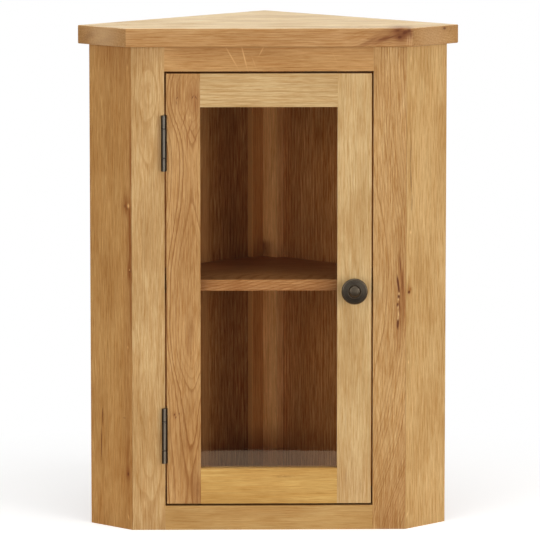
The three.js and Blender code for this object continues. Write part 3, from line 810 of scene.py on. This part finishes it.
# Boards that keep the solids' shape
plainBoards = {
    "top_board": {
        "layout": "level",
        "tone": (185, 140, 87),
        "gloss": 0.40,
        "specular": 0.2,
        # painted light: the top face is made much paler, as if lit from above
        "topLightingTint": (2.02, 2.80, 4.13),
        "stainAndShadeTint": (0.46, 0.30, 0.20),
        "lightTint": (1.42, 1.68, 2.4),
        "heart": (40, 380, 60),
        "tilt": (0.8, 0),
        "spacing": 3.6,
        "wander": 4.0,
        "lines": 0.30,
        "seed": 14,
        "depth": 34.0,
        "bulges": ((180, 669, 56, 60, -26), (165, 671, 12, 6, 5)),
        "stainsAndShade": (
            (176, 671, 9, 11, 1.1), (188, 674, 6, 8, 0.7), (156, 668, 16, 4, 0.55, 28),
            (166, 678, 16, 3.5, 0.5, 10), (150, 664, 26, 4, 0.45, 10), (132, 662, 24, 3, 0.4, 32),
            (140, 675, 14, 1.6, 0.25), (90, 668, 110, 40, 0.16), (236.5, 676.4, 3.4, 2.6, 1.8),
            (-243, 665, 12, 4, 2.0, 40), (-222, 660, 14, 4, 0.5, 30),
        ),
        "dark": (
            (176, 669.5, 6, 6, 0.36), (184, 675, 5, 4, 0.36), (172, 677, 4, 1.6, 0.6, 15),
            (174, 668, 2.0, 1.6, 1.0, 20), (181, 674, 3.4, 2.2, 0.6, 40), (187, 677, 2.6, 2.6, 0.55),
            (189, 670, 1.5, 4.0, 0.4), (165, 669, 8, 0.9, 0.5, 20), (152, 665.5, 9, 0.9, 0.45, 12),
            (160, 661, 7, 0.9, 0.35, -8), (236.5, 676.4, 1.5, 1.2, 4.6),
        ),
        "light": (
            (-232, 668, 24, 40, 0.95), (230, 668, 24, 40, 0.5), (184.5, 663, 6, 0.6, 0.45, 84),
            (187.5, 663, 7, 0.6, 0.45, 88), (190.5, 664, 7, 0.6, 0.45, 85),
        ),
    },
    "left_back_panel": {
        "layout": "leftWall",
        "tone": (172, 112, 60),
        # The long stain is a painted shadow of the corner strip and the long light mark a painted band of
        # light; the two broad stains darken the panel in each compartment.
        "stainAndShadeTint": (0.58, 0.50, 0.42),
        "stainsAndShade": ((330, 80, 900, 24, 0.5), (380, 70, 50, 80, 0.42), (90, 80, 60, 80, 0.25)),
        "light": ((330, 126, 900, 9, 0.6),),
        "heart": (300, 420, 10),
        "tilt": (0.4, 0),
        "spacing": 6.5,
        "wander": 5.0,
        "lines": 0.9,
        "wiggle": 3.0,
        "fibres": 6.0,
        "streaks": 1.0,
        "seed": 15,
    },
    "right_back_panel": {
        "layout": "rightWall",
        "tone": (203, 135, 76),
        "heart": (300, 460, 10),
        "tilt": (-0.4, 0),
        "spacing": 5.5,
        "wander": 5.0,
        "lines": 0.8,
        "wiggle": 2.5,
        "fibres": 4.4,
        "streaks": 0.9,
        "seed": 16,
        # The two broad stains darken the panel in each compartment.
        "stainAndShadeTint": (0.58, 0.50, 0.42),
        "stainsAndShade": ((380, 110, 50, 90, 0.42), (90, 110, 60, 90, 0.36)),
    },
    "base_board": {
        "layout": "level",
        "tone": (150, 104, 62),
        "heart": (0, 0, 200),
        "spacing": 9.0,
        "seed": 17,
    },
}
for boardName, look in plainBoards.items():
    paintNode(boardName, oakMaterial("oak_" + boardName, look))

# Battens, hanging rails and beads, which share their looks
battenOak = {"tone": (150, 104, 62), "heart": (0, 0, 160), "spacing": 6.0, "lines": 0.3, "seed": 18}
battenMaterial = oakMaterial("oak_left_battens", {**battenOak, "layout": "level"})
for boardName in ("left_shelf_batten", "left_hanging_rail", "right_shelf_batten", "right_hanging_rail"):
    paintNode(boardName, battenMaterial)

beadOak = {"tone": (190, 146, 94), "heart": (300, 0, 90), "spacing": 4.0, "lines": 0.3, "seed": 19}
beadMaterials = {
    "left": oakMaterial("oak_upright_beads", {**beadOak, "layout": "upright"}),
    "top": oakMaterial("oak_level_beads", {**beadOak, "layout": "level"}),
}
beadMaterials["right"] = beadMaterials["left"]
beadMaterials["bottom"] = beadMaterials["top"]
beadEasing = {"width": 0.8 * mm, "shortest": 30 * mm, "smallest": 1e-4}
for side, material in beadMaterials.items():
    nodeName = side + "_glazing_bead"
    shape = mergedCopy(nodeName)
    easeArrises(shape, **beadEasing)
    dressNode(nodeName, shape, material)
print("panels, battens and beads finished")

# Glass pane: clear, with the share that glass mirrors at each angle
pane = {
    "tint": (0.955, 0.975, 0.960, 1),
    "ior": 1.5,
    "faces": 1.85,  # how many faces mirror
    "rough": 0.02,
    "smudge": 0.03,  # roughness that smudges add
    "smudgeSize": (0.09, 0.09, 0.05),  # metres
    "smudgeFrom": (0.45, 0.75),
}
glassMaterial, tree = newMaterial("clear_glass")
smudges = noiseAt(tree, objectPlace(tree), pane["smudgeSize"], detail=3)
smudges = remap(tree, smudges, *pane["smudgeFrom"])
rough = scaled(tree, smudges, pane["smudge"], pane["rough"])
clear = outputOf(tree, "BsdfTransparent", pane["tint"])
mirror = outputOf(tree, "BsdfAnisotropic", white, rough)
front = calc(tree, "SUBTRACT", 1.0, outputOf(tree, "NewGeometry", output="Backfacing"))
share = times(tree, outputOf(tree, "Fresnel", pane["ior"]), pane["faces"])
share = times(tree, share, front, clamp=True)
addNode(tree, "OutputMaterial", {0: mixShaders(tree, share, clear, mirror)})
paintNode("glass_pane", glassMaterial)
print("glass finished")

# Hinges, dressed from their own leaves and pins
hingeLook = {"base": (95, 88, 79), "patina": (105, 99, 88), "gloss": 0.36, "mottle": 5.0}
hingeRims = {
    "split": (0.235, 0.765),  # where the knuckles meet, as shares of the pin's length
    "width": 0.5 * mm,
    "longest": 1.5 * mm,
    "level": 0.01 * mm,  # how level an edge is
    "square": 4,  # degrees from a right angle
    "smooth": 20,  # degrees
}
knuckleJoints = []
for level in ("upper", "lower"):
    low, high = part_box(level + "_hinge_pin")
    knuckleJoints += [low.z + share * (high.z - low.z) for share in hingeRims["split"]]
barrel = ((low.x + high.x) / 2, (high.x - low.x) / 2)
hingeMetal = metalMaterial("aged_pewter", {**hingeLook, "joints": knuckleJoints, "barrel": barrel})


def isRim(edge):
    if not (edge.is_manifold and edge.is_convex):
        return False
    offSquare = abs(edge.calc_face_angle() - math.radians(90))
    rise = abs(edge.verts[0].co.z - edge.verts[1].co.z)
    short = edge.calc_length() < hingeRims["longest"]
    return offSquare < math.radians(hingeRims["square"]) and short and rise < hingeRims["level"]


for level in ("upper", "lower"):
    for part in ("frame_leaf", "door_leaf", "pin"):
        nodeName = level + "_hinge_" + part
        shape = mergedCopy(nodeName)
        bevelEdges(shape, [edge for edge in shape.edges if isRim(edge)], hingeRims["width"], clamped=True)
        smoothFaces(shape)
        piece = dressNode(nodeName, shape, hingeMetal)
        piece.data.set_sharp_from_angle(angle=math.radians(hingeRims["smooth"]))
print("hinges dressed")

# Slotted screws, in place of the plain ones; radii, depths and lengths in mm
screwLooks = {
    "hinge": {"head": 2.6, "depth": 1.4, "shank": 1.3, "length": 15, "tip": 3.0, "slot": 0.7, "cut": 0.6},
    "catch": {"head": 3.0, "depth": 1.6, "shank": 1.5, "length": 22, "tip": 3.0, "slot": 0.8, "cut": 0.7},
    "striker": {"head": 1.9, "depth": 0.9, "shank": 1.0, "length": 10, "tip": 2.0, "slot": 0.5, "cut": 0.4},
}
screwForm = {
    "steps": 32,
    "flat": 0.93,  # share of the head's radius
    "rimDrop": 0.12,
    "inset": 0.2,
    "facing": 0.9,  # least upward part of a top face's normal
    "near": 0.01,  # how close to the top a face of the head lies
    "corners": 8,  # the head's top has more corners than this
    "turnStep": 47,  # degrees from one hinge screw's slot to the next
}
smallScrews = {  # look, and turn of the slot in degrees
    "catch_screw_left": ("catch", 20),
    "catch_screw_right": ("catch", 75),
    "striker_screw": ("striker", 40),
}
steelLook = {"base": (150, 150, 152), "patina": (128, 128, 130), "gloss": 0.30}
steelMaterial = metalMaterial("screw_steel", steelLook)


def spinProfile(profile, steps):
    shape = bmesh.new()
    points = [shape.verts.new((radius * mm, 0, height * mm)) for radius, height in profile]
    edges = [shape.edges.new(pair) for pair in zip(points, points[1:])]
    bmesh.ops.spin(
        shape, geom=points + edges, cent=(0, 0, 0), axis=(0, 0, 1), dvec=(0, 0, 0), angle=2 * math.pi,
        steps=steps, use_merge=True, use_duplicate=False,
    )
    bmesh.ops.remove_doubles(shape, verts=shape.verts, dist=merging["spun"])
    bmesh.ops.recalc_face_normals(shape, faces=shape.faces)
    return shape


def looksUp(face):
    return face.normal.z > screwForm["facing"]


def cutSlot(shape, width, depth):
    lowest = -screwForm["near"] * mm
    top = [face for face in shape.faces if looksUp(face) and face.calc_center_median().z > lowest]
    region = bmesh.ops.dissolve_faces(shape, faces=top)["region"]
    bmesh.ops.inset_region(shape, faces=region, thickness=screwForm["inset"] * mm)
    plate = [face for face in shape.faces if looksUp(face) and len(face.verts) > screwForm["corners"]]
    for side in (-1, 1):
        picked = list(plate)
        picked += [edge for face in plate for edge in face.edges]
        picked += [vert for face in plate for vert in face.verts]
        picked = list(dict.fromkeys(picked))
        edgePlace = (side * width / 2 * mm, 0, 0)
        cut = bmesh.ops.bisect_plane(shape, geom=picked, plane_co=edgePlace, plane_no=(1, 0, 0))
        plate = [item for item in cut["geom"] if isinstance(item, bmesh.types.BMFace)]
    middle = [face for face in plate if abs(face.calc_center_median().x) < width / 4 * mm]
    walls = bmesh.ops.extrude_face_region(shape, geom=middle)
    bmesh.ops.delete(shape, geom=middle, context="FACES_ONLY")
    sunk = [item for item in walls["geom"] if isinstance(item, bmesh.types.BMVert)]
    bmesh.ops.translate(shape, verts=sunk, vec=(0, 0, -depth * mm))
    bmesh.ops.recalc_face_normals(shape, faces=shape.faces)


def slottedScrew(nodeName, look, material, towards, turn):
    profile = [
        (0, -look["length"]),
        (look["shank"], look["tip"] - look["length"]),
        (look["shank"], -look["depth"]),
        (look["head"], -screwForm["rimDrop"]),
        (look["head"] * screwForm["flat"], 0),
        (0, 0),
    ]
    shape = spinProfile(profile, screwForm["steps"])
    cutSlot(shape, look["slot"], look["cut"])
    low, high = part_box(nodeName)
    headPlace = (low + high) / 2
    for axis in range(3):
        if towards[axis]:
            headPlace[axis] = low[axis] if towards[axis] > 0 else high[axis]
    pointing = Vector((0, 0, -1)).rotation_difference(Vector(towards)).to_matrix().to_4x4()
    turned = Matrix.Rotation(math.radians(turn), 4, "Z")
    bmesh.ops.transform(shape, verts=shape.verts, matrix=Matrix.Translation(headPlace) @ pointing @ turned)
    dressNode(nodeName, shape, material)


screwCount = 0
for level in ("upper", "lower"):
    for kind, towards in (("frame", (-1, 0, 0)), ("door", (1, 0, 0))):
        for position in ("bottom", "middle", "top"):
            screwCount += 1
            nodeName = f"{level}_hinge_{kind}_screw_{position}"
            turn = screwCount * screwForm["turnStep"]
            slottedScrew(nodeName, screwLooks["hinge"], hingeMetal, towards, turn)
for nodeName, (lookName, turn) in smallScrews.items():
    slottedScrew(nodeName, screwLooks[lookName], steelMaterial, (0, -1, 0), turn)
print("screws cut:", screwCount + len(smallScrews))

# Knob, turned on a fine profile; measures in mm
knob = {
    "radius": 17.6,
    "projection": 25.0,
    "footRadius": 9.0,
    "footHeight": 3.0,
    "neckRadius": 6.0,
    "headHeight": 10.0,
    "rimWidth": 3.0,
    "rimRoll": 2.3,
    "rimLand": 1.0,
    "stepDepth": 0.5,
    "stepSlope": 0.15,
    "stepWidth": 0.6,
    "faceRise": 0.8,
    "ringRadius": 9.6,
    "ringFoot": 0.4,
    "ringWidth": 1.3,
    "ringHeight": 0.5,
    "buttonRadius": 7.8,
    "buttonFoot": 0.1,
    "buttonHeight": 3.0,
    "buttonRounding": 2.4,
    "buttonCrown": 0.5,
    "steps": 96,
    "arcSteps": 10,
    "ringSteps": 4,
    "smooth": 40,  # degrees
}
knob["rimInner"] = knob["radius"] - knob["rimWidth"]
knob["ringInner"] = knob["ringRadius"] - knob["ringWidth"]


def arc(start, corner, end, steps):
    points = []
    for i in range(steps + 1):
        t = i / steps
        weights = ((1 - t) ** 2, 2 * t * (1 - t), t * t)
        points.append(tuple(sum(w * p for w, p in zip(weights, three)) for three in zip(start, corner, end)))
    return points


def knobProfile():
    k = knob
    top = k["projection"]
    groove = top - k["buttonHeight"]
    ringTop = groove + k["ringHeight"] + k["ringWidth"] / 2
    faceInner = ringTop - k["ringHeight"]
    faceOuter = faceInner - k["faceRise"]
    rimTop = faceOuter + k["stepDepth"]
    rimMiddle = rimTop - k["rimRoll"]
    rimLow = rimMiddle - k["rimLand"]
    neckTop = top - k["headHeight"]
    crownFoot = top - k["buttonCrown"]
    crownRadius = k["buttonRadius"] - k["buttonRounding"]
    shoulder = crownFoot - 2 * k["buttonCrown"] / crownRadius * k["buttonRounding"]
    outer, rim, ring, ringInner, button = (
        k[part] for part in ("radius", "rimInner", "ringRadius", "ringInner", "buttonRadius")
    )
    crest = ((ring + ringInner) / 2, ringTop)
    profile = [(0, 0), (k["footRadius"], 0), (k["footRadius"], k["footHeight"] / 2)]
    profile += [(k["neckRadius"], k["footHeight"])]
    profile += arc((k["neckRadius"], neckTop), (rim, neckTop), (outer, rimLow), k["arcSteps"])
    profile += arc((outer, rimMiddle), (outer, rimTop), (rim, rimTop), k["arcSteps"])
    profile += [(rim - k["stepSlope"], faceOuter), (rim - k["stepWidth"], faceOuter)]
    profile += [(ring + k["ringFoot"], faceInner), (ring, faceInner)]
    profile += arc((ring, faceInner), (ring, ringTop), crest, k["ringSteps"])[1:]
    profile += arc(crest, (ringInner, ringTop), (ringInner, groove), k["ringSteps"])[1:]
    profile += [(button, groove)]
    buttonLow = (button, groove + k["buttonFoot"])
    profile += arc(buttonLow, (button, shoulder), (crownRadius, crownFoot), k["arcSteps"])
    profile += arc((crownRadius, crownFoot), (crownRadius / 2, top), (0, top), k["arcSteps"])[1:]
    return profile


knobLook = {
    "base": (52, 46, 40),
    "patina": (58, 54, 46),
    "soiled": (30, 24, 20),
    "rubbed": (142, 122, 98),
    "gloss": 0.37,
    "mottle": 4.5,  # mm
    "fine": 0.7,  # mm
    "patinaFrom": (0.40, 0.62),
    "wornBand": 0.02,  # share of the radius
    "darkened": 0.75,
    "soilLevels": (1.0, 0.9),  # around the button, and in the rim's step
    "rub": 0.5,
    "rubLevels": (0.25, 0.8, 0.5, 0.1, 0.6, 0.2),  # button, its edge, ring, face, rim and flank
    "rimPlace": 0.95,  # share of the radius
    "rubFrom": (0.35, 0.6, 0.3, 1.0),
    "turning": 0.35,  # how far the turning marks swing the colour
    "turningScale": 1.1,
    "turningFrom": (0.3, 0.7),
    "patinaRough": 0.06,
    "rubbedRough": -0.08,
    "fineHeight": 0.4,
    "bump": (0.2, 0.00012),
}


def knobMaterial(foot):
    look = knobLook
    material, tree = newMaterial("dark_bronze")
    local = laidOut(tree, objectPlace(tree), foot, (math.pi / 2, 0, 0), (mm, mm, mm))
    radius = vectorCalc(tree, "LENGTH", vectorCalc(tree, "MULTIPLY", local, (1, 1, 0)), output=1)
    share = calc(tree, "DIVIDE", radius, knob["radius"])
    mottle = noiseAt(tree, local, (look["mottle"],) * 3, detail=4, rough=0.6)
    fine = noiseAt(tree, local, (look["fine"],) * 3, detail=2)
    base, patinaColour, soiledColour, rubbedColour = (
        shade(linear(look[part])) for part in ("base", "patina", "soiled", "rubbed")
    )
    patina = remap(tree, mottle, *look["patinaFrom"])
    colour = blendColour(tree, patina, base, patinaColour)

    # soil in the grooves, and bare metal where fingers rub
    circles = ("buttonRadius", "ringInner", "ringRadius", "rimInner")
    button, ringIn, ringOut, step = (knob[part] / knob["radius"] for part in circles)
    worn = look["wornBand"]
    grooveSoil, stepSoil = look["soilLevels"]
    soiled = ramp(tree, share, (
        (0.0, 0.0), (button - worn, 0.0), (button, grooveSoil), (ringIn, grooveSoil), (ringIn + worn, 0.0),
        (step - worn, 0.0), (step, stepSoil), (step + worn, 0.0), (1.0, 0.0),
    ))
    colour = blendColour(tree, times(tree, soiled, look["darkened"]), colour, soiledColour)
    middle, edge, ring, face, rim, flankShade = look["rubLevels"]
    rubbed = ramp(tree, share, (
        (0.0, middle), (button - 4 * worn, middle), (button - 1.5 * worn, edge), (button, 0.0),
        ((ringIn + ringOut) / 2, ring), (ringOut, 0.0), (step + worn, face), (look["rimPlace"], rim),
        (1.0, flankShade),
    ))
    rubbed = times(tree, rubbed, remap(tree, fine, *look["rubFrom"]))
    colour = blendColour(tree, times(tree, rubbed, look["rub"]), colour, rubbedColour)

    # turning marks
    inputs = {"W": radius, "Scale": look["turningScale"], "Detail": 3.0}
    turning = addNode(tree, "TexNoise", inputs, noise_dimensions="1D").outputs[0]
    turning = remap(tree, turning, *look["turningFrom"], 1 - look["turning"], 1 + look["turning"])
    colour = blendColour(tree, 1.0, colour, greyOf(tree, turning), "MULTIPLY")

    rough = scaled(tree, patina, look["patinaRough"], look["gloss"])
    rough = scaled(tree, rubbed, look["rubbedRough"], rough)
    height = scaled(tree, fine, look["fineHeight"], mottle)
    finishSurface(tree, {"Base Color": colour, "Metallic": 1.0, "Roughness": rough}, height, *look["bump"])
    return material


knobShape = spinProfile(knobProfile(), knob["steps"])
smoothFaces(knobShape)
low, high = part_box("knob")
knobFoot = Vector(((low.x + high.x) / 2, high.y, (low.z + high.z) / 2))
knobTurn = Matrix.Translation(knobFoot) @ Matrix.Rotation(math.pi / 2, 4, "X")
bmesh.ops.transform(knobShape, verts=knobShape.verts, matrix=knobTurn)
knobPiece = finishPiece("turned_knob", knobShape, "door", knobMaterial(knobFoot), ["knob"])
knobPiece.data.set_sharp_from_angle(angle=math.radians(knob["smooth"]))
print("knob turned")

# Small fittings: slot, material and width of the eased edges in mm
catchMaterial = metalMaterial("catch_brown", {"base": (96, 72, 48), "patina": (112, 86, 58), "gloss": 0.5})
magnetMaterial = metalMaterial("magnet_grey", {"base": (70, 70, 72), "patina": (84, 84, 86), "gloss": 0.5})
fittings = {
    "catch_case": ("catch_case", catchMaterial, 0.8),
    "catch_magnet": ("magnet", magnetMaterial, 0.4),
    "striker_plate": ("steel", steelMaterial, 0.3),
    "knob_screw": ("steel", steelMaterial, 0.25),
}
fittingEasing = {"shortest": 5 * mm, "smallest": 2e-6}
for nodeName, (slotName, material, width) in fittings.items():
    shape = mergedCopy(nodeName)
    easeArrises(shape, width * mm, **fittingEasing)
    dressNode(nodeName, shape, material)
print("fittings finished")

# Floor: a pale table top that ends where the photograph's reflection does
floor = {
    "radius": 0.758,
    "steps": 96,
    "fade": (0.32, 0.02),  # from and to this far inside the edge
    "colour": (0.86, 0.86, 0.85, 1),  # as the camera sees it
    "grainSize": (0.02, 0.02, 0.02),
    "grain": (0.2, 0.8, 0.985, 1.0),
    "lift": 0.50,
    "bounce": (0.52, 0.52, 0.51, 1),  # as it lights the cupboard
    "mirrored": (1.12, 0.82, 0.55, 1),  # painted reflection: the warm glow that glass and metal see on the floor
}
shape = bmesh.new()
bmesh.ops.create_circle(shape, cap_ends=True, radius=floor["radius"], segments=floor["steps"])
floorPiece = addMesh("floor", shape)


floorMaterial, tree = newMaterial("pale_floor")
place = objectPlace(tree)
grain = remap(tree, noiseAt(tree, place, floor["grainSize"], detail=3), *floor["grain"])
tinted = blendColour(tree, 1.0, greyOf(tree, grain), floor["colour"], "MULTIPLY")
matt = outputOf(tree, "BsdfDiffuse", tinted)
lifted = outputOf(tree, "AddShader", matt, outputOf(tree, "Emission", white, floor["lift"]))
bounce = outputOf(tree, "BsdfDiffuse", floor["bounce"])
# painted reflection: glossy rays see the floor as a warm glow
mirrored = outputOf(tree, "Emission", floor["mirrored"], 1.0)
seen, glossy = rayKinds(tree)
shown = mixShaders(tree, seen, mixShaders(tree, glossy, bounce, mirrored), lifted)
distance = vectorCalc(tree, "LENGTH", place, output=1)
edge = remap(tree, distance, *(floor["radius"] - inside for inside in floor["fade"]))
faded = outputOf(tree, "Emission", white, 1.0)
surface = mixShaders(tree, times(tree, edge, seen), shown, faded)
addNode(tree, "OutputMaterial", {0: surface})
floorPiece.data.materials.append(floorMaterial)
print("floor laid")

# Soft studio lights: place, what they face, size and power
lamps = {
    "key": {"place": (1.9, -2.2, 0.8), "aim": (0, 0, 0.35), "size": 1.4, "power": 30.0},
    "fill": {"place": (-1.6, -2.3, 0.95), "aim": (0, 0, 0.35), "size": 1.4, "power": 17.0},
    "top": {"place": (0.1, -0.7, 2.9), "aim": (0, 0, 0.4), "size": 1.8, "power": 27.0},
    "frontRight": {"place": (2.1, -7.2, 0.15), "aim": (0, 0, 0.4), "size": 1.2, "power": 74.0},
    "frontLeft": {"place": (-2.1, -7.2, 0.15), "aim": (0, 0, 0.4), "size": 1.2, "power": 63.0},
}
for lampName, lamp in lamps.items():
    data = bpy.data.lights.new(lampName, "AREA")
    data.shape = "SQUARE"
    data.size = lamp["size"]
    data.energy = lamp["power"]
    lampObject = addObject(lampName, data)
    lampObject.location = lamp["place"]
    facing = Vector(lamp["aim"]) - Vector(lamp["place"])
    lampObject.rotation_euler = facing.to_track_quat("-Z", "Y").to_euler()

# World: an even sky for the light, white for the camera, and for metal and glass white above
# the horizon and behind the cupboard
sky = {
    "light": 0.28,
    "tint": (1.0, 0.995, 0.985, 1),
    "horizon": (-0.03, 0.06),
    "backdrop": (0.0, 0.2),
    "dim": 0.03,  # what metal and glass mirror below the horizon
}
world = bpy.data.worlds.new("studio")
bpy.context.scene.world = world
world.use_nodes = True
tree = world.node_tree
tree.nodes.clear()
direction = outputOf(tree, "TexCoord", output="Generated")
mirrored = remap(tree, axisOf(tree, direction, 2), *sky["horizon"], sky["dim"], 1.0)
backdrop = remap(tree, axisOf(tree, direction, 1), *sky["backdrop"])
mirrored = calc(tree, "MAXIMUM", mirrored, backdrop)
soft = outputOf(tree, "Background", sky["tint"], sky["light"])
gloss = outputOf(tree, "Background", white, mirrored)
blank = outputOf(tree, "Background", white, 1.0)
seen, glossy = rayKinds(tree)
addNode(tree, "OutputWorld", {0: mixShaders(tree, seen, mixShaders(tree, glossy, soft, gloss), blank)})
print("lights set")
